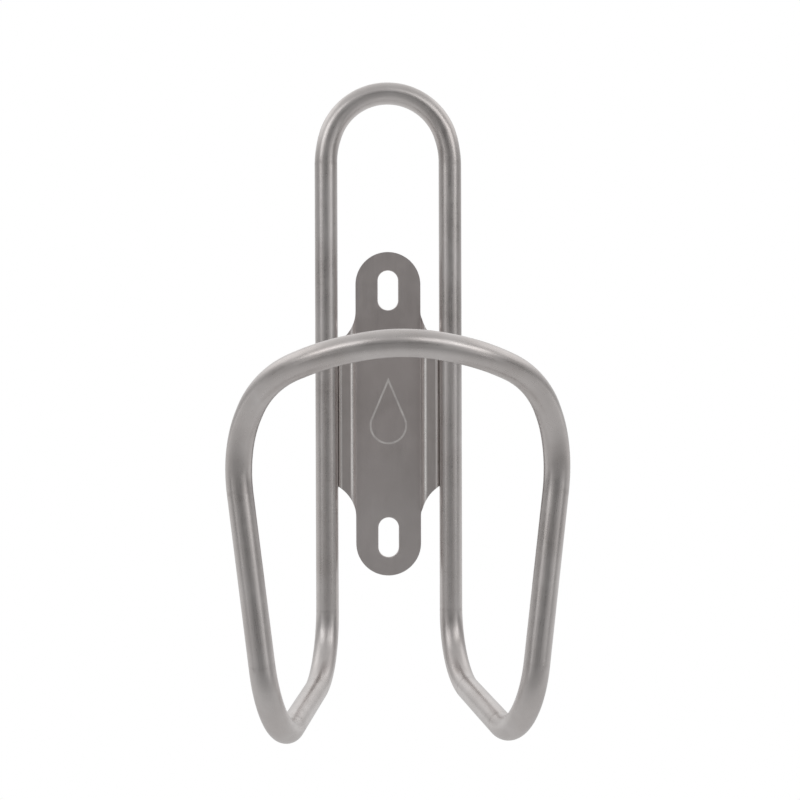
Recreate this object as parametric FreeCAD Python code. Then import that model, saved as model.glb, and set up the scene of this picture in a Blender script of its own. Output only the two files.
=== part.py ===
import FreeCAD, Part
import math
import os

# Water bottle cage: one bent titanium tube and one stamped mounting plate, welded together.
# Millimetres. +Z is up along the bottle, +X is to the right as the rider looks at the cage,
# and -Y points away from the bicycle, towards the bottle. The origin is midway between the two
# bolt slots, on the face of the plate that lies against the bicycle frame.

V = FreeCAD.Vector
X_AXIS, Y_AXIS, Z_AXIS = V(1, 0, 0), V(0, 1, 0), V(0, 0, 1)

# Standard sizes that the cage is made for
BOLT_SPACING = 64.0            # between the two frame bosses
BOTTLE_D = 73.0                # standard cycling bottle

# Tube
TUBE_OD = 5.8
TUBE_WALL = 0.7
TUBE_R = TUBE_OD / 2
BORE_R = TUBE_R - TUBE_WALL

# Rails: the two upright runs beside the mounting plate
RAIL_X = 15.9                  # from the middle to a rail's centre line
RAIL_STANDOFF = 4.0            # from the mounting face forward to the rails' centre lines

# Top loop: a narrow arch of three arcs, tangent to both rails
LOOP_TOP_Z = 82.2              # centre line of the tube at the top
LOOP_CROWN_R = 15.5
LOOP_SIDE_R = 24.0

# Bends and corners of the right-hand half of the tube, below the rails and round the bottle.
# A corner is where two straight runs would meet; the bend there is tangent to both.
HEEL_Z = -66.0
HEEL_BEND_R = 17.5
TOE = (27.4, 60.4, -72.2)      # sideways, forward of the rails, height
TOE_BEND_R = 16.0

# The hoop wraps the bottle: its corners stand on a cylinder round the bottle's axis.
# Each row is the corner's angle from the front of the bottle in degrees, and its height.
HOOP_CORNER_R = 38.5
HOOP_CORNERS = [(68.8, -6.4), (49.2, 8.8), (22.8, 14.4)]
HOOP_FRONT_Z = 16.7

# Butt weld that closes the tube, dressed flush, where the right-hand saddle backs it
BUTT_WELD_Z = 16.5
BUTT_WELD_WIDTH = 1.6
BUTT_WELD_ROOT = 0.2           # how far its root stands inside the bore

# Mounting plate, pressed from sheet
PLATE_T = 1.0
TAB_HALF_WIDTH = 8.4
TAB_END_Z = 41.9
SLOT_WIDTH = 5.3
SLOT_LENGTH = 10.3
NECK_R = 9.5                   # concave curve from a tab out to a rail
NECK_START_Z = 26.7
FOOT_BEND_R = 0.6              # middle of the sheet, panel into step
HEAD_BEND_R = 0.9              # middle of the sheet, step into wing
STEP_X = (8.93, 9.18)          # foot and head of the pressed step, on the middle of the sheet
WING_Y = -3.8                  # middle of the sheet in the raised wings
EDGE_ROLL_R = 0.6              # middle of the sheet
EDGE_BREAK = 0.2               # rounding of the slots' edges
SADDLE_END_DEG = 115.0         # how far the saddle wraps the rail, from the rail's inner side

# Weld beads along the saddles' free edges, at the back of the rails
BEAD_R = 0.95
BEAD_LENGTH = 12.0
BEAD_CENTRE_Z = 10.0
BEAD_OFFSET = 0.3              # bead axis above the tube's surface
BEAD_ANGLE_DEG = 7.0           # bead axis beyond the saddle's edge

RAIL_Y = -RAIL_STANDOFF
BOTTLE_Y = RAIL_Y - TUBE_R - BOTTLE_D / 2


def mirrored(point):
    """The same point on the left-hand side."""
    return V(-point.x, point.y, point.z)


def turn_between(before, corner, after):
    """Angle through which a path turns at a corner."""
    return math.pi - (before - corner).getAngle(after - corner)


def largest_bend(before, corner, after):
    """Bend radius that uses half of the shorter run on each side of a corner."""
    shorter = min((before - corner).Length, (after - corner).Length)
    return 0.49 * shorter / math.tan(turn_between(before, corner, after) / 2)


def hoop_point(angle_deg, height):
    """Point on the cylinder round the bottle, at an angle from its front."""
    angle = math.radians(angle_deg)
    return V(HOOP_CORNER_R * math.sin(angle), BOTTLE_Y - HOOP_CORNER_R * math.cos(angle), height)


def top_loop_corners():
    """Right-hand corner of the three-arc loop, and its corner at the crown."""
    lean = math.acos((LOOP_SIDE_R - RAIL_X) / (LOOP_SIDE_R - LOOP_CROWN_R))
    crown_centre_z = LOOP_TOP_Z - LOOP_CROWN_R
    side_centre_z = crown_centre_z - (LOOP_SIDE_R - LOOP_CROWN_R) * math.sin(lean)
    side = V(RAIL_X, RAIL_Y, side_centre_z + LOOP_SIDE_R * math.tan(lean / 2))
    crown = V(0, RAIL_Y, crown_centre_z + LOOP_CROWN_R / math.sin(lean))
    return side, crown


def tube_route():
    """Corners and bend radii from just below the butt weld, right round to just above it."""
    side, crown = top_loop_corners()
    heel = V(RAIL_X, RAIL_Y, HEEL_Z)
    toe = V(TOE[0], RAIL_Y - TOE[1], TOE[2])
    shoulder = [hoop_point(angle, height) for angle, height in HOOP_CORNERS]
    front = hoop_point(0, HOOP_FRONT_Z)
    right = [heel, toe] + shoulder
    hoop = [toe] + shoulder + [front]
    bends = [HEEL_BEND_R, TOE_BEND_R]
    bends += [largest_bend(*hoop[i:i + 3]) for i in range(len(shoulder))]
    front_bend = largest_bend(shoulder[-1], front, mirrored(shoulder[-1]))
    start = V(RAIL_X, RAIL_Y, BUTT_WELD_Z - BUTT_WELD_WIDTH / 2)
    end = V(RAIL_X, RAIL_Y, BUTT_WELD_Z + BUTT_WELD_WIDTH / 2)
    corners = [start] + right + [front] + [mirrored(p) for p in reversed(right)]
    radii = bends + [front_bend] + bends[::-1]
    corners += [mirrored(side), crown, side, end]
    radii += [LOOP_SIDE_R, LOOP_CROWN_R, LOOP_SIDE_R]
    return corners, radii


def swept_piece(centre, direction, ring, length):
    """Straight length of tube, starting at centre."""
    face = ring.copy()
    face.Placement = FreeCAD.Placement(centre, FreeCAD.Rotation(Z_AXIS, direction))
    return face.extrude(direction * length)


def bent_piece(entry, direction, axis, hub, turn, ring):
    """Bent length of tube, turning about an axis through hub."""
    face = ring.copy()
    face.Placement = FreeCAD.Placement(entry, FreeCAD.Rotation(Z_AXIS, direction))
    return face.revolve(hub, axis, math.degrees(turn))


def ring_face(outer_r, inner_r):
    """Flat ring in the XY plane."""
    disc = Part.Face(Part.Wire(Part.makeCircle(outer_r)))
    hole = Part.Face(Part.Wire(Part.makeCircle(inner_r)))
    return disc.cut(hole).Faces[0]


def make_loop_tube():
    """The bent tube, as straight runs and tangent bends."""
    corners, radii = tube_route()
    ring = ring_face(TUBE_R, BORE_R)
    pieces = []
    run_start = corners[0]
    for i, radius in enumerate(radii, 1):
        before, corner, after = corners[i - 1:i + 2]
        turn = turn_between(before, corner, after)
        setback = radius * math.tan(turn / 2)
        way_in = (corner - before).normalize()
        way_out = (after - corner).normalize()
        entry = corner - way_in * setback
        leave = corner + way_out * setback
        run = (entry - run_start).Length
        if run > 0.01:
            pieces.append(swept_piece(run_start, way_in, ring, run))
        axis = way_in.cross(way_out).normalize()
        hub = entry + axis.cross(way_in) * radius
        pieces.append(bent_piece(entry, way_in, axis, hub, turn, ring))
        run_start = leave
    last_run = corners[-1] - run_start
    pieces.append(swept_piece(run_start, V(last_run).normalize(), ring, last_run.Length))
    return pieces[0].multiFuse(pieces[1:])


def make_butt_weld():
    """Ring of weld metal between the tube's two ends."""
    ring = ring_face(TUBE_R, BORE_R - BUTT_WELD_ROOT)
    start = V(RAIL_X, RAIL_Y, BUTT_WELD_Z - BUTT_WELD_WIDTH / 2)
    return swept_piece(start, Z_AXIS, ring, BUTT_WELD_WIDTH)


def arc_edge(centre, radius, start_deg, end_deg):
    """Arc in the XY plane, through its middle point."""
    points = []
    for angle in (start_deg, (start_deg + end_deg) / 2, end_deg):
        a = math.radians(angle)
        points.append(centre + V(radius * math.cos(a), radius * math.sin(a), 0))
    return Part.Arc(*points).toShape()


def plate_section():
    """Half of the plate's cross-section: panel, pressed step, wing, rolled edge and saddle."""
    half_t = PLATE_T / 2
    panel_y = -half_t
    foot, head = STEP_X
    slope = math.degrees(math.atan2(panel_y - WING_Y, head - foot))
    half_turn = math.tan(math.radians(slope) / 2)
    foot_hub = V(foot - FOOT_BEND_R * half_turn, panel_y - FOOT_BEND_R, 0)
    head_hub = V(head + HEAD_BEND_R * half_turn, WING_Y + HEAD_BEND_R, 0)
    saddle_r = TUBE_R + half_t
    rail = V(RAIL_X, RAIL_Y, 0)
    roll_rise = WING_Y + EDGE_ROLL_R - RAIL_Y
    roll_reach = math.sqrt((saddle_r + EDGE_ROLL_R) ** 2 - roll_rise ** 2)
    roll_hub = V(RAIL_X - roll_reach, WING_Y + EDGE_ROLL_R, 0)
    hug = math.degrees(math.atan2(roll_rise, roll_reach))
    sides = []
    for s in (-half_t, half_t):
        edges = [
            arc_edge(foot_hub, FOOT_BEND_R + s, 90, 90 - slope),
            arc_edge(head_hub, HEAD_BEND_R - s, 270 - slope, 270),
            arc_edge(roll_hub, EDGE_ROLL_R - s, 270, 360 - hug),
            arc_edge(rail, saddle_r + s, 180 - hug, 180 - SADDLE_END_DEG),
        ]
        points = [V(0, panel_y + s, 0)]
        for edge in edges:
            points += [edge.valueAt(edge.FirstParameter), edge.valueAt(edge.LastParameter)]
        for a, b in zip(points[0:-1:2], points[1::2]):
            if (b - a).Length > 1e-6:
                edges.append(Part.makeLine(a, b))
        sides.append((edges, points[0], points[-1]))
    edges = sides[0][0] + sides[1][0]
    edges.append(Part.makeLine(sides[0][1], sides[1][1]))
    edges.append(Part.makeLine(sides[0][2], sides[1][2]))
    return Part.Face(Part.Wire(Part.__sortEdges__(edges)))


def quarter_outline():
    """Front-view outline of the plate's upper right quarter, ends on both middle lines."""
    neck_hub = V(TAB_HALF_WIDTH + NECK_R, 0, NECK_START_Z)
    tab_hub_z = TAB_END_Z - TAB_HALF_WIDTH
    diagonal = math.sqrt(0.5)
    end_arc = Part.Arc(
        V(0, 0, TAB_END_Z),
        V(TAB_HALF_WIDTH * diagonal, 0, tab_hub_z + TAB_HALF_WIDTH * diagonal),
        V(TAB_HALF_WIDTH, 0, tab_hub_z),
    )
    neck_arc = Part.Arc(
        V(TAB_HALF_WIDTH, 0, NECK_START_Z),
        neck_hub + V(-NECK_R * diagonal, 0, -NECK_R * diagonal),
        neck_hub + V(0, 0, -NECK_R),
    )
    corner = V(neck_hub.x, 0, 0)
    edges = [
        end_arc.toShape(),
        Part.makeLine(V(TAB_HALF_WIDTH, 0, tab_hub_z), V(TAB_HALF_WIDTH, 0, NECK_START_Z)),
        neck_arc.toShape(),
        Part.makeLine(neck_hub + V(0, 0, -NECK_R), corner),
        Part.makeLine(corner, V(0, 0, 0)),
        Part.makeLine(V(0, 0, 0), V(0, 0, TAB_END_Z)),
    ]
    return Part.Face(Part.Wire(edges))


def slot_cutter(centre_z):
    """Upright slot right through the plate."""
    straight = SLOT_LENGTH - SLOT_WIDTH
    depth = 4 * PLATE_T
    block = Part.makeBox(SLOT_WIDTH, depth, straight,
                         V(-SLOT_WIDTH / 2, -depth / 2, centre_z - straight / 2))
    ends = []
    for z in (centre_z - straight / 2, centre_z + straight / 2):
        ends.append(Part.makeCylinder(SLOT_WIDTH / 2, depth, V(0, -depth / 2, z), Y_AXIS))
    return block.multiFuse(ends)


def slot_edges(plate):
    """Edges of the two slots, on the front and back of the plate."""
    edges = []
    for edge in plate.Edges:
        box = edge.BoundBox
        in_slot = max(abs(box.XMin), abs(box.XMax)) < SLOT_WIDTH / 2 + 1e-3
        beyond = min(abs(box.ZMin), abs(box.ZMax)) > (BOLT_SPACING - SLOT_LENGTH) / 2 - 1e-3
        if box.YLength < 1e-6 and in_slot and beyond:
            edges.append(edge)
    return edges


def make_mounting_plate():
    """Pressed plate: tabs with slots, central panel, raised wings and saddles for the rails."""
    section = plate_section()
    bar = section.extrude(V(0, 0, TAB_END_Z))
    quarter = quarter_outline()
    quarter.translate(V(0, -2 * RAIL_STANDOFF, 0))
    cutter = quarter.extrude(V(0, 4 * RAIL_STANDOFF, 0))
    upper_right = bar.common(cutter)
    upper_left = upper_right.mirror(V(0, 0, 0), X_AXIS)
    upper = upper_right.fuse(upper_left)
    plate = upper.fuse(upper.mirror(V(0, 0, 0), Z_AXIS))
    slots = [slot_cutter(side * BOLT_SPACING / 2) for side in (-1, 1)]
    plate = plate.cut(slots).removeSplitter()
    return plate.makeFillet(EDGE_BREAK, slot_edges(plate))


def make_weld_bead(side, level, plate):
    """Bead along one saddle's free edge; side is -1 left or 1 right, level is -1 lower or 1 upper."""
    angle = math.radians(180 - SADDLE_END_DEG - BEAD_ANGLE_DEG)
    reach = TUBE_R + BEAD_OFFSET
    x = side * (RAIL_X + reach * math.cos(angle))
    y = RAIL_Y + reach * math.sin(angle)
    straight = BEAD_LENGTH - 2 * BEAD_R
    low = V(x, y, level * BEAD_CENTRE_Z - straight / 2)
    core = Part.makeCylinder(BEAD_R, straight, low, Z_AXIS)
    ends = [Part.makeSphere(BEAD_R, low), Part.makeSphere(BEAD_R, low + V(0, 0, straight))]
    rail = Part.makeCylinder(TUBE_R, 4 * BEAD_LENGTH, V(side * RAIL_X, RAIL_Y, -2 * BEAD_LENGTH), Z_AXIS)
    return core.multiFuse(ends).removeSplitter().cut([rail, plate])


def save(shape, node):
    """Write one node, and report what is in it."""
    solids = shape.Solids
    shape = solids[0] if len(solids) == 1 else Part.makeCompound(solids)
    shape.exportStep(f"parts/{node}.step")
    box = shape.BoundBox
    print(f"{node}: {len(solids)} solid, valid {shape.isValid()}, {shape.Volume:.1f} mm3, "
          f"x {box.XMin:.2f} {box.XMax:.2f}, y {box.YMin:.2f} {box.YMax:.2f}, "
          f"z {box.ZMin:.2f} {box.ZMax:.2f}")


def main():
    os.makedirs("parts", exist_ok=True)
    plate = make_mounting_plate()
    save(make_loop_tube(), "loop_tube")
    save(make_butt_weld(), "butt_weld")
    save(plate, "mounting_plate")
    for side, side_name in ((-1, "left"), (1, "right")):
        for level, level_name in ((-1, "lower"), (1, "upper")):
            save(make_weld_bead(side, level, plate), f"weld_bead_{side_name}_{level_name}")


main()
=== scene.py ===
import math

import bmesh
import bpy
from mathutils import Matrix, Vector


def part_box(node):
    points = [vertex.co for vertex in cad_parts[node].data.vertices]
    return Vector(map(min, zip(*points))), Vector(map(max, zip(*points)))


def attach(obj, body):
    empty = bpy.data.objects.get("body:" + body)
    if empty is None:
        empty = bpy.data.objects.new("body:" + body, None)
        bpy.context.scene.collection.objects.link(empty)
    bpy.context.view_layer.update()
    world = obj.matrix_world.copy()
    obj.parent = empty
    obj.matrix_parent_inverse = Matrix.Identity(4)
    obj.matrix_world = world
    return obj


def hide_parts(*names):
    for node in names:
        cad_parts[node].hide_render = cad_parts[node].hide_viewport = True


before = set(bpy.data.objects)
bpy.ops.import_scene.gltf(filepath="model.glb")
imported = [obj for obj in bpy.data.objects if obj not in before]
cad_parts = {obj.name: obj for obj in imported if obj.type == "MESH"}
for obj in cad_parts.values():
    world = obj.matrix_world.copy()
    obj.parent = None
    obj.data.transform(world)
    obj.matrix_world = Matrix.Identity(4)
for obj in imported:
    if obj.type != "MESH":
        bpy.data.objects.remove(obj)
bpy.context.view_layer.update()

MM = 0.001

# Sizes of the cage that the tube's own mesh needs, in millimetres, as the design has them
TUBE_R = 2.9
BORE_R = 2.2
RAIL_X = 15.9
RAIL_Y = -4.0
BOTTLE_R = 36.5
BOTTLE_Y = RAIL_Y - TUBE_R - BOTTLE_R
LOOP_TOP_Z = 82.2
LOOP_CROWN_R = 15.5
LOOP_SIDE_R = 24.0
HEEL = Vector((RAIL_X, RAIL_Y, -66.0))
HEEL_BEND_R = 17.5
TOE = Vector((27.4, RAIL_Y - 60.4, -72.2))
TOE_BEND_R = 16.0
HOOP_CORNER_R = 38.5
HOOP_CORNERS = [(68.8, -6.4), (49.2, 8.8), (22.8, 14.4)]      # degrees from the front, and height
HOOP_FRONT_Z = 16.7
BUTT_WELD_Z = 16.5
BUTT_WELD_WIDTH = 1.6

# Weld beads, as the design has them
BEAD_R = 0.95
BEAD_LENGTH = 12.0
BEAD_CENTRE_Z = 10.0
BEAD_REACH = TUBE_R + 0.3      # from the rail's centre line to the bead's
BEAD_ANGLE_DEG = 58.0          # from straight outwards, towards the bicycle

# Ripples of the weld beads
RIPPLES = 11
RIPPLE_STEPS = 8
RIPPLE_DEPTH = 0.08            # of the bead's radius
RIPPLE_FULLNESS = 0.6          # below 1, the ripples are round with sharp valleys between them
RIPPLE_SAG = 0.024             # how far each ripple slumps along the bead
RIPPLE_LAG = 0.34              # how far a ripple's crown is above its edges
BEAD_ROUND_END = 0.16          # share of each half that rounds off
BEAD_AROUND = 24

# Plate, in metres: where painted highlights lie along the press's bends and the wings' rolled edges,
# and where painted shade falls. A pair is where an effect starts to change, and ends.
STEP_X = 0.00900
CREASE_X = 0.00935
EDGE_ROLL_X = 0.01245
FOOT_X = (0.0078, 0.0088)      # foot of the step, on the panel
FOOT_Y = (-0.0025, -0.0011)
RISER_Y = (-0.0009, -0.0012)
WING_Y = (-0.0030, -0.0037)    # front of the wings
WING_END_Z = (0.0190, 0.0225)  # above and below, the painted highlights and the wings' painted shade stop before the wings do
STEP_END_Z = (0.0225, 0.0255)
FRONT_FACE_Y = (-0.0008, -0.0009)
PAINTED_SHADE_Z = (-0.034, 0.004)      # painted shade and light: the plate is painted darker upwards and paler downwards
HIGHLIGHT_BAND_POLISH = 0.12             # how much smoother the metal is under the painted highlights

# Drop etched on the plate, in metres
DROP_R = 0.0046
DROP_TIP = 0.0118              # tip above the centre of the round part
DROP_CENTRE_Z = -0.0030
DROP_LINE = 0.00036
DROP_BLUR = 0.00012

# Mesh of the tube
RING_POINTS = 48
BEND_STEP_DEG = 3.0
RUN_STEP = 6.0
BEND_FLATTENING = 0.04         # a tight bend makes the tube thinner in its plane and wider across
MARK_WIDTH = 0.7               # faint ring that the bending tool leaves at each end of a bend

# Finish of the metal: noise scales per metre, and the rest in metres
CLOUD_SCALE = 60.0
PATCH_SCALE = 420.0
WAVE_SCALE = 310.0
GRAIN_SCALE = 5200.0
WAVE_DEPTH = 0.000035
GRAIN_DEPTH = 0.000012
LINE_DEPTH = 0.000010
STAIN_REACH = (0.0010, 0.0026)     # heat stain, from the bead's centre line
STAIN_FADE = 0.0016                # past the bead's ends

# Camera: place and lens in millimetres
CAMERA_PLACE = Vector((-14.50, -374.21, 7.94))
CAMERA_YAW_DEG = 2.69
CAMERA_PITCH_DEG = -0.665
CAMERA_ROLL_DEG = -0.172
CAMERA_LENS = 64.9

# Colours of the metal
TITANIUM = (0.565, 0.534, 0.522, 1)
TITANIUM_DEEP = (0.505, 0.470, 0.454, 1)
TITANIUM_PALE = (0.635, 0.606, 0.594, 1)
TITANIUM_ROSY = (0.585, 0.518, 0.508, 1)
TITANIUM_PAINTED_SHADE = (0.455, 0.418, 0.406, 1)
# Pale metal of the grain's specks, and the colour of the painted highlights along the plate's bends
GRAIN_AND_PAINTED_HIGHLIGHT = (0.93, 0.90, 0.88, 1)
TOOL_MARK = (0.25, 0.23, 0.22, 1)
ETCHED = (0.86, 0.84, 0.82, 1)
HEAT_STAIN = (0.60, 0.52, 0.40, 1)
WELD_STRAW = (0.64, 0.57, 0.46, 1)
WELD_BRIGHT = (0.62, 0.59, 0.57, 1)
WELD_BLUE = (0.48, 0.50, 0.57, 1)
SEAM_WARM = (0.60, 0.53, 0.44, 1)

# Studio lights: name, azimuth from straight in front of the cage and elevation in degrees,
# width and height in metres, brightness
LIGHTS = [
    ("softbox_left", -59, 0, 0.30, 1.3, 0.31),
    ("fill_left", -46, 0, 0.72, 1.3, 0.16),
    ("key_left", -42, 33, 0.50, 0.36, 0.86),
    ("rim_left", -62, 22, 0.48, 0.34, 0.70),
    ("top_left", -115, 38, 0.80, 0.50, 0.40),
    ("softbox_right", 54, 0, 0.34, 1.3, 0.26),
    ("fill_right", 44, 0, 0.74, 1.3, 0.24),
    ("key_right", 30, 34, 0.60, 0.36, 0.86),
    ("rim_right", 58, 22, 0.48, 0.34, 0.78),
    ("top_right", 115, 38, 0.80, 0.50, 0.36),
]
LIGHT_DISTANCE = 1.0
FLOOR_DROP = 0.09              # of the floor below the cage
FLOOR_R = 6.0
FLOOR_POINTS = 96

# Brightness of the floor and the room in reflections: a base, and rises along an axis (from, to, gain)
FLOOR_BASE = 0.35
FLOOR_RISES = [("Y", -0.40, -0.06, 0.30), ("Y", 0.0, 0.4, 0.17)]
ROOM_BASE = 0.130
ROOM_RISES = [("Z", -0.05, 0.65, 0.42), ("Y", -0.7, 0.5, 0.26), ("Y", 0.4, 1.0, 0.35)]


# ---------------------------------------------------------------- tube route

def mirrored(point):
    """The same point on the left-hand side."""
    return Vector((-point.x, point.y, point.z))


def turn_between(before, corner, after):
    """Angle through which the route turns at a corner."""
    return math.pi - (before - corner).angle(after - corner)


def largest_bend(before, corner, after):
    """Bend radius that uses just under half of the shorter run beside a corner."""
    shorter = min((before - corner).length, (after - corner).length)
    return 0.49 * shorter / math.tan(turn_between(before, corner, after) / 2)


def hoop_point(angle_deg, height):
    """Corner of the hoop's route, at an angle round the bottle from its front."""
    angle = math.radians(angle_deg)
    x = HOOP_CORNER_R * math.sin(angle)
    y = BOTTLE_Y - HOOP_CORNER_R * math.cos(angle)
    return Vector((x, y, height))


def tube_route():
    """Corners and bend radii, from above the butt weld round the cage to below it."""
    lean = math.acos((LOOP_SIDE_R - RAIL_X) / (LOOP_SIDE_R - LOOP_CROWN_R))
    crown_z = LOOP_TOP_Z - LOOP_CROWN_R
    side_z = crown_z - (LOOP_SIDE_R - LOOP_CROWN_R) * math.sin(lean)
    side = Vector((RAIL_X, RAIL_Y, side_z + LOOP_SIDE_R * math.tan(lean / 2)))
    crown = Vector((0, RAIL_Y, crown_z + LOOP_CROWN_R / math.sin(lean)))
    shoulder = [hoop_point(*corner) for corner in HOOP_CORNERS]
    front = hoop_point(0, HOOP_FRONT_Z)
    right = [HEEL, TOE] + shoulder
    hoop = [TOE] + shoulder + [front]
    bends = [HEEL_BEND_R, TOE_BEND_R]
    bends += [largest_bend(*hoop[i:i + 3]) for i in range(len(shoulder))]
    front_bend = largest_bend(shoulder[-1], front, mirrored(shoulder[-1]))
    start = Vector((RAIL_X, RAIL_Y, BUTT_WELD_Z - BUTT_WELD_WIDTH / 2))
    end = Vector((RAIL_X, RAIL_Y, BUTT_WELD_Z + BUTT_WELD_WIDTH / 2))
    corners = [start] + right + [front] + [mirrored(p) for p in reversed(right)]
    corners += [mirrored(side), crown, side, end]
    radii = bends + [front_bend] + bends[::-1] + [LOOP_SIDE_R, LOOP_CROWN_R, LOOP_SIDE_R]
    return corners, radii


def route_stations():
    """Points along the centre line: place, direction, bend axis, depth into a bend, tool mark."""
    corners, radii = tube_route()
    stations = []

    def add_run(a, b):
        length = (b - a).length
        if length < 0.01:
            return
        way = (b - a) / length
        marked = length > 6 * MARK_WIDTH
        steps = max(1, round(length / RUN_STEP))
        places = [length * i / steps for i in range(steps + 1)]
        if marked:
            places += [MARK_WIDTH, length - MARK_WIDTH]
        for place in sorted(places):
            at_end = marked and place in (0.0, length)
            stations.append((a + way * place, way, None, 0.0, 1.0 if at_end else 0.0))

    run_start = corners[0]
    for i, radius in enumerate(radii, 1):
        before, corner, after = corners[i - 1:i + 2]
        turn = turn_between(before, corner, after)
        setback = radius * math.tan(turn / 2)
        way_in = (corner - before).normalized()
        way_out = (after - corner).normalized()
        entry = corner - way_in * setback
        add_run(run_start, entry)
        axis = way_in.cross(way_out).normalized()
        hub = entry + axis.cross(way_in) * radius
        sharpness = min(1.0, max(0.0, 2 * HEEL_BEND_R / radius - 1))
        steps = max(2, math.ceil(math.degrees(turn) / BEND_STEP_DEG))
        for k in range(1, steps):
            turned = Matrix.Rotation(turn * k / steps, 3, axis)
            pinch = math.sin(math.pi * k / steps) * sharpness
            stations.append((hub + turned @ (entry - hub), turned @ way_in, axis, pinch, 0.0))
        run_start = corner + way_out * setback
    add_run(run_start, corners[-1])
    return stations


# ---------------------------------------------------------------- meshes

def new_object(name, bm, material):
    """Object from a bmesh, riding on the frame, with its material."""
    bmesh.ops.recalc_face_normals(bm, faces=bm.faces)
    mesh = bpy.data.meshes.new(name)
    bm.to_mesh(mesh)
    bm.free()
    mesh.shade_smooth()
    piece = bpy.data.objects.new(name, mesh)
    bpy.context.scene.collection.objects.link(piece)
    mesh.materials.append(material)
    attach(piece, "root")
    return piece


def ring_of(bm, centre, across, up, radius, squeeze, squeeze_axis, mark):
    """Ring of vertices round a station; a bend widens it along the bend's axis, and thins it across."""
    wider = 1 + BEND_FLATTENING * squeeze
    thinner = 1 - BEND_FLATTENING * squeeze
    ring = []
    bend_layer = bm.verts.layers.float["bend"]
    mark_layer = bm.verts.layers.float["mark"]
    for i in range(RING_POINTS):
        angle = 2 * math.pi * i / RING_POINTS
        offset = (across * math.cos(angle) + up * math.sin(angle)) * radius
        if squeeze_axis is not None:
            wide = squeeze_axis * offset.dot(squeeze_axis)
            offset = wide * wider + (offset - wide) * thinner
        vertex = bm.verts.new((centre + offset) * MM)
        vertex[bend_layer] = squeeze
        vertex[mark_layer] = mark
        ring.append(vertex)
    return ring


def make_tube(material):
    """The bent tube, outside and bore, with lengthwise and round-the-tube coordinates."""
    bm = bmesh.new()
    uv = bm.loops.layers.uv.new("along")
    bm.verts.layers.float.new("bend")
    bm.verts.layers.float.new("mark")
    stations = route_stations()
    way = stations[0][1]
    across = Vector((0, 1, 0)) - way * way.y
    across.normalize()
    rings = {TUBE_R: [], BORE_R: []}
    lengths = []
    last = stations[0][0]
    travelled = 0.0
    for place, direction, axis, pinch, mark in stations:
        across = (across - direction * across.dot(direction)).normalized()
        up = direction.cross(across)
        travelled += (place - last).length
        last = place
        lengths.append(travelled)
        for radius in rings:
            rings[radius].append(ring_of(bm, place, across, up, radius, pinch, axis, mark))

    def add_skin(ring_list, flip):
        for k in range(len(ring_list) - 1):
            a, b = ring_list[k], ring_list[k + 1]
            if lengths[k + 1] - lengths[k] < 1e-6:
                continue
            for i in range(RING_POINTS):
                j = (i + 1) % RING_POINTS
                corners = [a[i], b[i], b[j], a[j]]
                spots = [(k, i), (k + 1, i), (k + 1, i + 1), (k, i + 1)]
                if flip:
                    corners.reverse()
                    spots.reverse()
                face = bm.faces.new(corners)
                for loop, (station, turn_step) in zip(face.loops, spots):
                    loop[uv].uv = (lengths[station] * MM, turn_step / RING_POINTS)

    add_skin(rings[TUBE_R], False)
    add_skin(rings[BORE_R], True)
    for k in (0, -1):
        outer, inner = rings[TUBE_R][k], rings[BORE_R][k]
        for i in range(RING_POINTS):
            j = (i + 1) % RING_POINTS
            wall = bm.faces.new((outer[i], outer[j], inner[j], inner[i]))
            for edge in wall.edges:
                edge.smooth = False
    bmesh.ops.remove_doubles(bm, verts=bm.verts, dist=1e-7)
    tube = new_object("bent_tube", bm, material)
    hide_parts("loop_tube")


def bead_fullness(t):
    """Share of a bead's full radius, at a share t of its length."""
    past = abs(2 * t - 1) - (1 - BEAD_ROUND_END)
    if past <= 0:
        return 1.0
    return max(0.02, math.sqrt(max(0.0, 1 - (past / BEAD_ROUND_END) ** 2)))


def make_bead(node, side, level, material):
    """Rippled weld bead, a stack of overlapping scallops laid downwards."""
    bm = bmesh.new()
    angle = math.radians(BEAD_ANGLE_DEG)
    x = side * (RAIL_X + BEAD_REACH * math.cos(angle))
    y = RAIL_Y + BEAD_REACH * math.sin(angle)
    steps = RIPPLES * RIPPLE_STEPS
    rings = []
    for k in range(1, steps):
        t = k / steps
        ripple = (t * RIPPLES) % 1.0
        crest = 1 - RIPPLE_DEPTH * (1 - math.sin(math.pi * ripple) ** RIPPLE_FULLNESS)
        radius = BEAD_R * crest * bead_fullness(t)
        sag = RIPPLE_SAG * math.sin(2 * math.pi * ripple)
        z = level * BEAD_CENTRE_Z + (t - 0.5) * BEAD_LENGTH + sag
        ring = []
        for i in range(BEAD_AROUND):
            a = 2 * math.pi * i / BEAD_AROUND
            lag = RIPPLE_LAG * crest * math.cos(a - angle)
            point = Vector((x + side * radius * math.cos(a), y + radius * math.sin(a), z + lag))
            ring.append(bm.verts.new(point * MM))
        rings.append(ring)
    for a, b in zip(rings, rings[1:]):
        for i in range(BEAD_AROUND):
            j = (i + 1) % BEAD_AROUND
            bm.faces.new((a[i], a[j], b[j], b[i]))
    bm.faces.new(rings[0])
    bm.faces.new(rings[-1])
    bead = new_object(node + "_ripples", bm, material)
    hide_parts(node)


# ---------------------------------------------------------------- material helpers

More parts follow.
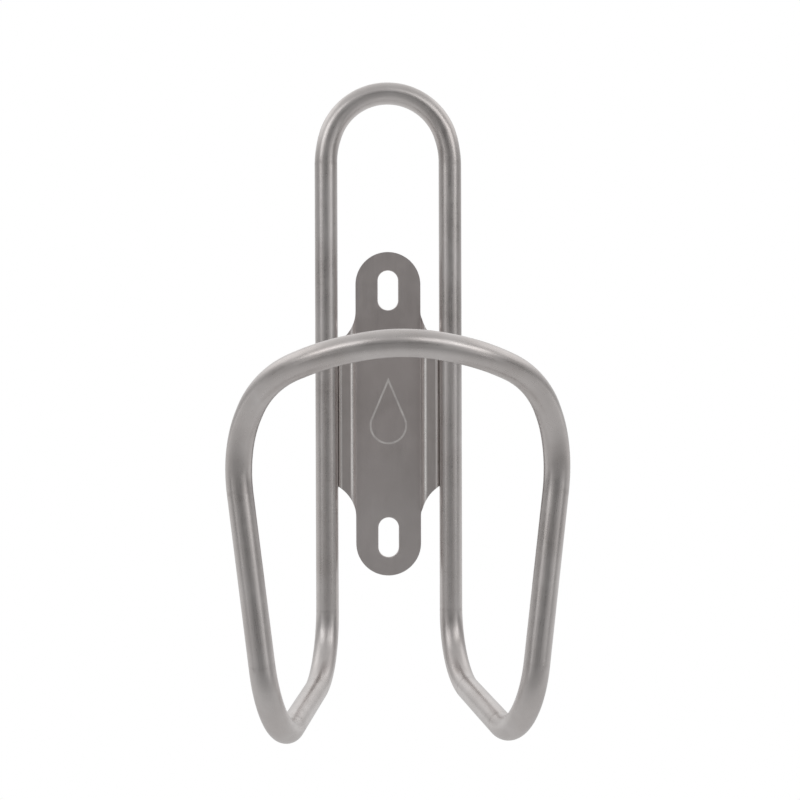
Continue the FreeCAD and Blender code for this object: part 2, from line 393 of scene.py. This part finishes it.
class Nodes:
    """Short calls for building one material's node tree."""

    def __init__(self, name):
        self.material = bpy.data.materials.new(name)
        self.material.use_nodes = True
        self.tree = self.material.node_tree
        self.tree.nodes.clear()
        self.out = self.tree.nodes.new("ShaderNodeOutputMaterial")
        self.shader = self.tree.nodes.new("ShaderNodeBsdfPrincipled")
        self.link(self.shader.outputs[0], self.out.inputs["Surface"])

    def link(self, source, socket):
        self.tree.links.new(source, socket)

    def put(self, socket, value):
        if isinstance(value, bpy.types.NodeSocket):
            self.link(value, socket)
        elif value is not None:
            socket.default_value = value

    def coordinates(self, kind="Object"):
        return self.tree.nodes.new("ShaderNodeTexCoord").outputs[kind]

    def stretched(self, vector, scale):
        node = self.tree.nodes.new("ShaderNodeMapping")
        self.link(vector, node.inputs["Vector"])
        node.inputs["Scale"].default_value = scale
        return node.outputs[0]

    def noise(self, vector, scale, detail=3.0, roughness=0.55):
        node = self.tree.nodes.new("ShaderNodeTexNoise")
        self.link(vector, node.inputs["Vector"])
        node.inputs["Scale"].default_value = scale
        node.inputs["Detail"].default_value = detail
        node.inputs["Roughness"].default_value = roughness
        return node.outputs["Fac"]

    def math(self, operation, a, b=None):
        node = self.tree.nodes.new("ShaderNodeMath")
        node.operation = operation
        for socket, value in zip(node.inputs, (a, b)):
            self.put(socket, value)
        return node.outputs[0]

    def distance(self, a, b):
        squared = self.math("ADD", self.math("MULTIPLY", a, a), self.math("MULTIPLY", b, b))
        return self.math("SQRT", squared)

    def spread(self, value, low, high, to_low, to_high, smooth=False):
        node = self.tree.nodes.new("ShaderNodeMapRange")
        if smooth:
            node.interpolation_type = "SMOOTHSTEP"
        self.link(value, node.inputs["Value"])
        node.inputs["From Min"].default_value = low
        node.inputs["From Max"].default_value = high
        node.inputs["To Min"].default_value = to_low
        node.inputs["To Max"].default_value = to_high
        return node.outputs[0]

    def mix(self, factor, a, b):
        node = self.tree.nodes.new("ShaderNodeMix")
        node.data_type = "RGBA"
        self.put(node.inputs["Factor"], factor)
        self.put(node.inputs["A"], a)
        self.put(node.inputs["B"], b)
        return node.outputs["Result"]

    def attribute(self, name):
        node = self.tree.nodes.new("ShaderNodeAttribute")
        node.attribute_name = name
        return node.outputs["Fac"]

    def join(self, x, y, z):
        node = self.tree.nodes.new("ShaderNodeCombineXYZ")
        for socket, value in zip(node.inputs, (x, y, z)):
            self.put(socket, value)
        return node.outputs[0]

    def split(self, vector):
        node = self.tree.nodes.new("ShaderNodeSeparateXYZ")
        self.link(vector, node.inputs[0])
        return node.outputs

    def bump(self, height, distance, strength, below=None):
        node = self.tree.nodes.new("ShaderNodeBump")
        self.link(height, node.inputs["Height"])
        node.inputs["Distance"].default_value = distance
        node.inputs["Strength"].default_value = strength
        if below is not None:
            self.link(below, node.inputs["Normal"])
        return node.outputs[0]

    def finish(self, color, roughness, normal):
        self.link(color, self.shader.inputs["Base Color"])
        self.link(roughness, self.shader.inputs["Roughness"])
        self.link(normal, self.shader.inputs["Normal"])
        self.shader.inputs["Metallic"].default_value = 1.0
        return self.material


class Satin:
    """Satin titanium: cloudy tone, faint waves, fine blasted grain and drawn lines."""

    def __init__(self, nodes, drawn_lines, roughness):
        place = nodes.coordinates()
        cloud = nodes.noise(place, CLOUD_SCALE, 4.0)
        patch = nodes.noise(place, PATCH_SCALE, 3.0, 0.65)
        lines = nodes.noise(drawn_lines, 1.0, 3.0, 0.65)
        grain = nodes.noise(place, GRAIN_SCALE, 3.0, 0.7)
        waves = nodes.noise(place, WAVE_SCALE, 3.0, 0.6)
        tone = nodes.mix(nodes.spread(cloud, 0.35, 0.65, 0, 1), TITANIUM_DEEP, TITANIUM_PALE)
        tone = nodes.mix(nodes.spread(patch, 0.3, 0.7, 0.0, 0.5), tone, TITANIUM)
        self.color = nodes.mix(nodes.spread(grain, 0.52, 0.75, 0.0, 0.16), tone, GRAIN_AND_PAINTED_HIGHLIGHT)
        cloudy = nodes.spread(cloud, 0.3, 0.7, roughness - 0.02, roughness + 0.03)
        drawn = nodes.spread(lines, 0.3, 0.7, -0.05, 0.05)
        patchy = nodes.spread(patch, 0.3, 0.7, -0.03, 0.03)
        self.roughness = nodes.math("ADD", cloudy, nodes.math("ADD", drawn, patchy))
        normal = nodes.bump(grain, GRAIN_DEPTH, 0.38)
        normal = nodes.bump(lines, LINE_DEPTH, 0.35, normal)
        self.normal = nodes.bump(waves, WAVE_DEPTH, 0.42, normal)


def band(nodes, value, centre, half_width, soft):
    """1 on a stripe round a value, falling to 0 over its soft edges."""
    off = nodes.math("ABSOLUTE", nodes.math("SUBTRACT", value, centre))
    return nodes.spread(off, half_width, half_width + soft, 1.0, 0.0, smooth=True)


def heat_tint(nodes, x, y, z, color):
    """Faint straw stain that the welding left on the metal beside the beads."""
    angle = math.radians(BEAD_ANGLE_DEG)
    bead_x = (RAIL_X + BEAD_REACH * math.cos(angle)) * MM
    bead_y = (RAIL_Y + BEAD_REACH * math.sin(angle)) * MM
    aside = nodes.math("SUBTRACT", nodes.math("ABSOLUTE", x), bead_x)
    behind = nodes.math("SUBTRACT", y, bead_y)
    near = nodes.spread(nodes.distance(aside, behind), *STAIN_REACH, 1.0, 0.0, smooth=True)
    height = nodes.math("ABSOLUTE", z)
    beside = band(nodes, height, BEAD_CENTRE_Z * MM, BEAD_LENGTH * MM / 2, STAIN_FADE)
    stain = nodes.math("MULTIPLY", near, beside)
    patchy = nodes.spread(nodes.noise(nodes.coordinates(), 500.0), 0.3, 0.7, 0.25, 0.6)
    return nodes.mix(nodes.math("MULTIPLY", stain, patchy), color, HEAT_STAIN)


def tube_material():
    """Drawn tube: lines run along it; bends are duller, with the tool's faint ring at each end."""
    nodes = Nodes("satin_titanium_tube")
    along, around, _ = nodes.split(nodes.coordinates("UV"))
    x, y, z = nodes.split(nodes.coordinates())
    turn = nodes.math("MULTIPLY", around, 2 * math.pi)
    drawn = nodes.join(
        nodes.math("MULTIPLY", along, 120.0),
        nodes.math("MULTIPLY", nodes.math("COSINE", turn), 11.0),
        nodes.math("MULTIPLY", nodes.math("SINE", turn), 11.0))
    satin = Satin(nodes, drawn, 0.30)
    bend = nodes.attribute("bend")
    mark = nodes.attribute("mark")
    broken = nodes.spread(nodes.noise(nodes.coordinates(), 900.0), 0.4, 0.62, 0.0, 0.55)
    mark = nodes.math("MULTIPLY", mark, broken)
    color = nodes.mix(nodes.math("MULTIPLY", mark, 0.5), satin.color, TOOL_MARK)
    color = heat_tint(nodes, x, y, z, color)
    roughness = nodes.math("ADD", satin.roughness, nodes.math("MULTIPLY", bend, 0.03))
    roughness = nodes.math("ADD", roughness, nodes.math("MULTIPLY", mark, 0.12))
    peel = nodes.math("MULTIPLY", nodes.noise(nodes.coordinates(), 1500.0), bend)
    normal = nodes.bump(peel, GRAIN_DEPTH, 0.35, satin.normal)
    return nodes.finish(color, roughness, normal)


def drop_outline(nodes, x, z):
    """1 on the outline of a plain water drop: a round bottom with tangent sides up to its tip."""
    slant = math.asin(DROP_R / DROP_TIP)
    across = nodes.math("ABSOLUTE", x)
    height = nodes.math("SUBTRACT", z, DROP_CENTRE_Z)
    round_part = nodes.math("SUBTRACT", nodes.distance(across, height), DROP_R)
    below_tip = nodes.math("SUBTRACT", height, DROP_TIP)
    side = nodes.math("ADD", nodes.math("MULTIPLY", across, math.cos(slant)),
                      nodes.math("MULTIPLY", below_tip, math.sin(slant)))
    above = nodes.math("SUBTRACT", DROP_R * math.sin(slant), height)
    pointed_part = nodes.math("MAXIMUM", side, above)
    edge = nodes.math("ABSOLUTE", nodes.math("MINIMUM", round_part, pointed_part))
    return nodes.spread(edge, DROP_LINE / 2, DROP_LINE / 2 + DROP_BLUR, 1.0, 0.0, smooth=True)


def painted_press_highlights(nodes, place, x, y, z):
    """How far a spot is on a raised wing, and where painted highlights lie along the press's crease,
    the wings' rolled edges and the step.
    """
    across = nodes.math("ABSOLUTE", x)
    height = nodes.math("ABSOLUTE", z)
    raised = nodes.spread(y, *WING_Y, 0.0, 1.0)
    raised = nodes.math("MULTIPLY", raised, nodes.spread(height, *WING_END_Z, 1.0, 0.0, smooth=True))
    # Bands that get painted highlights: the crease, the rolled edge of each wing, and the step's foot
    # and riser
    crease = nodes.math("MULTIPLY", band(nodes, across, CREASE_X, 0.00026, 0.00035), raised)
    roll = nodes.math("MULTIPLY", band(nodes, across, EDGE_ROLL_X, 0.00032, 0.00025), raised)
    foot = nodes.spread(across, *FOOT_X, 0.0, 0.42, smooth=True)
    foot = nodes.math("MULTIPLY", foot, nodes.spread(y, *FOOT_Y, 0.0, 1.0))
    riser = nodes.spread(y, *RISER_Y, 0.0, 0.8)
    riser = nodes.math("MULTIPLY", band(nodes, across, STEP_X, 0.00032, 0.0002), riser)
    step = nodes.spread(height, *STEP_END_Z, 1.0, 0.0, smooth=True)
    step = nodes.math("MULTIPLY", nodes.math("MAXIMUM", foot, riser), step)
    painted_highlight = nodes.math("MAXIMUM", nodes.math("MAXIMUM", crease, roll), step)
    uneven = nodes.noise(nodes.stretched(place, (900, 900, 130)), 1.0)
    painted_highlight = nodes.math("MULTIPLY", painted_highlight, nodes.spread(uneven, 0.3, 0.7, 0.72, 1.0))
    return raised, painted_highlight


def etching(nodes, place, x, y, z):
    """Where the drop is etched: on the front face only, a little patchy."""
    front = nodes.spread(y, *FRONT_FACE_Y, 0.0, 1.0)
    etched = nodes.math("MULTIPLY", drop_outline(nodes, x, z), front)
    patchy = nodes.spread(nodes.noise(place, 700.0), 0.3, 0.7, 0.35, 0.75)
    return nodes.math("MULTIPLY", etched, patchy)


def plate_material():
    """Rolled and pressed sheet: painted highlights along the press's bends, painted shade on the wings
    and towards the top, with an etched drop on its front.
    """
    nodes = Nodes("satin_titanium_sheet")
    place = nodes.coordinates()
    x, y, z = nodes.split(place)
    satin = Satin(nodes, nodes.stretched(place, (5200.0, 5200.0, 110.0)), 0.40)
    raised, painted_highlight = painted_press_highlights(nodes, place, x, y, z)
    etched = etching(nodes, place, x, y, z)
    rosy = nodes.spread(nodes.noise(place, 45.0), 0.3, 0.7, 0.25, 0.60)
    color = nodes.mix(rosy, satin.color, TITANIUM_ROSY)
    # Painted shade and light: darker towards the top, paler towards the bottom
    upper = nodes.spread(z, *PAINTED_SHADE_Z, 0.0, 1.0, smooth=True)
    color = nodes.mix(0.42, color, nodes.mix(upper, TITANIUM_PALE, TITANIUM_PAINTED_SHADE))
    # Painted shade: the raised wings are painted darker than the panel
    color = nodes.mix(nodes.math("MULTIPLY", raised, 0.55), color, TITANIUM_DEEP)
    # Painted highlights: the crease, rolled edges and step are painted paler
    color = nodes.mix(painted_highlight, color, GRAIN_AND_PAINTED_HIGHLIGHT)
    color = nodes.mix(etched, color, ETCHED)
    color = heat_tint(nodes, x, y, z, color)
    polish = nodes.math("MULTIPLY", painted_highlight, HIGHLIGHT_BAND_POLISH)
    roughness = nodes.math("SUBTRACT", satin.roughness, polish)
    roughness = nodes.math("ADD", roughness, nodes.math("MULTIPLY", etched, 0.15))
    return nodes.finish(color, roughness, satin.normal)


def weld_material():
    """As-welded bead: bright ripples with straw and blue heat tint."""
    nodes = Nodes("titanium_weld")
    place = nodes.coordinates()
    tint = nodes.noise(place, 260.0, 3.0)
    color = nodes.mix(nodes.spread(tint, 0.38, 0.5, 0, 1), WELD_STRAW, WELD_BRIGHT)
    color = nodes.mix(nodes.spread(tint, 0.52, 0.66, 0, 0.8), color, WELD_BLUE)
    roughness = nodes.spread(nodes.noise(place, 1800.0, 3.0), 0.3, 0.7, 0.18, 0.36)
    normal = nodes.bump(nodes.noise(place, 4000.0, 2.0), 0.00002, 0.3)
    return nodes.finish(color, roughness, normal)


def seam_material():
    """Dressed butt weld: ground flush, a shade warmer, with marks of the file round the tube."""
    nodes = Nodes("dressed_titanium_seam")
    place = nodes.coordinates()
    satin = Satin(nodes, nodes.stretched(place, (300.0, 300.0, 6000.0)), 0.33)
    color = nodes.mix(0.35, satin.color, SEAM_WARM)
    return nodes.finish(color, satin.roughness, satin.normal)


# ---------------------------------------------------------------- studio

def area_light(name, place, target, width, height, radiance):
    """Soft rectangular light facing the target; radiance is the brightness of its face."""
    data = bpy.data.lights.new(name, "AREA")
    data.shape = "RECTANGLE"
    data.size = width
    data.size_y = height
    data.energy = radiance * math.pi * width * height
    light = bpy.data.objects.new(name, data)
    bpy.context.scene.collection.objects.link(light)
    light.location = place
    light.rotation_euler = (target - place).to_track_quat("-Z", "Y").to_euler()


def make_lights():
    """Soft boxes all round, aimed at the middle of the cage."""
    low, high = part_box("loop_tube")
    middle = Vector((0, (low[1] + high[1]) / 2, (low[2] + high[2]) / 2))
    for name, azimuth_deg, elevation_deg, width, height, radiance in LIGHTS:
        azimuth, elevation = math.radians(azimuth_deg), math.radians(elevation_deg)
        level = math.cos(elevation)
        way = Vector((math.sin(azimuth) * level, -math.cos(azimuth) * level, math.sin(elevation)))
        area_light(name, middle + way * LIGHT_DISTANCE, middle, width, height, radiance)


def make_floor():
    """Flat round floor below the cage."""
    low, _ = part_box("loop_tube")
    floor_mesh = bpy.data.meshes.new("floor")
    bm = bmesh.new()
    bmesh.ops.create_circle(bm, cap_ends=True, radius=FLOOR_R, segments=FLOOR_POINTS)
    bm.to_mesh(floor_mesh)
    bm.free()
    floor = bpy.data.objects.new("floor", floor_mesh)
    floor.location = (0, 0, low[2] - FLOOR_DROP)
    bpy.context.scene.collection.objects.link(floor)
    floor_mesh.materials.append(floor_material())


class Setting:
    """Node tree of the floor or the room: white to look at, softer in the reflections."""

    def __init__(self, tree, out_type, shader_type):
        tree.nodes.clear()
        self.tree = tree
        out = tree.nodes.new(out_type)
        mix = tree.nodes.new("ShaderNodeMixShader")
        self.reflected = tree.nodes.new(shader_type)
        seen = tree.nodes.new(shader_type)
        ray = tree.nodes.new("ShaderNodeLightPath")
        for shader in (self.reflected, seen):
            shader.inputs["Color"].default_value = (1, 1, 1, 1)
        seen.inputs["Strength"].default_value = 1.0
        tree.links.new(ray.outputs["Is Camera Ray"], mix.inputs[0])
        tree.links.new(self.reflected.outputs[0], mix.inputs[1])
        tree.links.new(seen.outputs[0], mix.inputs[2])
        tree.links.new(mix.outputs[0], out.inputs["Surface"])

    def reflect(self, coordinates, base, rises):
        """Brightness in reflections: a base, and smooth rises along an axis."""
        place = self.tree.nodes.new("ShaderNodeTexCoord")
        axes = self.tree.nodes.new("ShaderNodeSeparateXYZ")
        self.tree.links.new(place.outputs[coordinates], axes.inputs[0])
        total = self.tree.nodes.new("ShaderNodeValue").outputs[0]
        total.default_value = base
        for axis, low, high, gain in rises:
            rise = self.tree.nodes.new("ShaderNodeMapRange")
            rise.interpolation_type = "SMOOTHSTEP"
            self.tree.links.new(axes.outputs[axis], rise.inputs["Value"])
            rise.inputs["From Min"].default_value = low
            rise.inputs["From Max"].default_value = high
            rise.inputs["To Max"].default_value = gain
            sum_node = self.tree.nodes.new("ShaderNodeMath")
            self.tree.links.new(total, sum_node.inputs[0])
            self.tree.links.new(rise.outputs[0], sum_node.inputs[1])
            total = sum_node.outputs[0]
        self.tree.links.new(total, self.reflected.inputs["Strength"])


def floor_material():
    """Plain pale floor, dimmer towards the camera in what the metal reflects."""
    material = bpy.data.materials.new("pale_floor")
    material.use_nodes = True
    setting = Setting(material.node_tree, "ShaderNodeOutputMaterial", "ShaderNodeEmission")
    setting.reflect("Object", FLOOR_BASE, FLOOR_RISES)
    return material


def make_world():
    """White room, bright overhead and behind the cage, dim behind the camera."""
    world = bpy.data.worlds.new("studio")
    bpy.context.scene.world = world
    world.use_nodes = True
    setting = Setting(world.node_tree, "ShaderNodeOutputWorld", "ShaderNodeBackground")
    setting.reflect("Generated", ROOM_BASE, ROOM_RISES)


def make_camera():
    """Camera at the viewing angle, with its roll."""
    yaw = math.radians(CAMERA_YAW_DEG)
    pitch = math.radians(CAMERA_PITCH_DEG)
    level = math.cos(pitch)
    forward = Vector((math.sin(yaw) * level, math.cos(yaw) * level, math.sin(pitch)))
    right = forward.cross(Vector((0, 0, 1))).normalized()
    roll = Matrix.Rotation(-math.radians(CAMERA_ROLL_DEG), 3, forward)
    right = roll @ right
    up = right.cross(forward)
    turn = Matrix((right, up, -forward)).transposed()
    data = bpy.data.cameras.new("camera")
    data.sensor_width = 36.0
    data.lens = CAMERA_LENS
    data.clip_start = 0.01
    data.clip_end = 20.0
    camera = bpy.data.objects.new("camera", data)
    bpy.context.scene.collection.objects.link(camera)
    camera.matrix_world = Matrix.Translation(CAMERA_PLACE * MM) @ turn.to_4x4()
    bpy.context.scene.camera = camera


def paint(node, material):
    """Give a CAD node its finished material."""
    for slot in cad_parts[node].material_slots:
        slot.material = material


def main():
    make_camera()
    make_world()
    make_lights()
    make_floor()
    bpy.context.scene.view_settings.view_transform = "Standard"
    make_tube(tube_material())
    paint("butt_weld", seam_material())
    paint("mounting_plate", plate_material())
    weld = weld_material()
    for side, side_name in ((-1, "left"), (1, "right")):
        for level, level_name in ((-1, "lower"), (1, "upper")):
            make_bead(f"weld_bead_{side_name}_{level_name}", side, level, weld)


main()
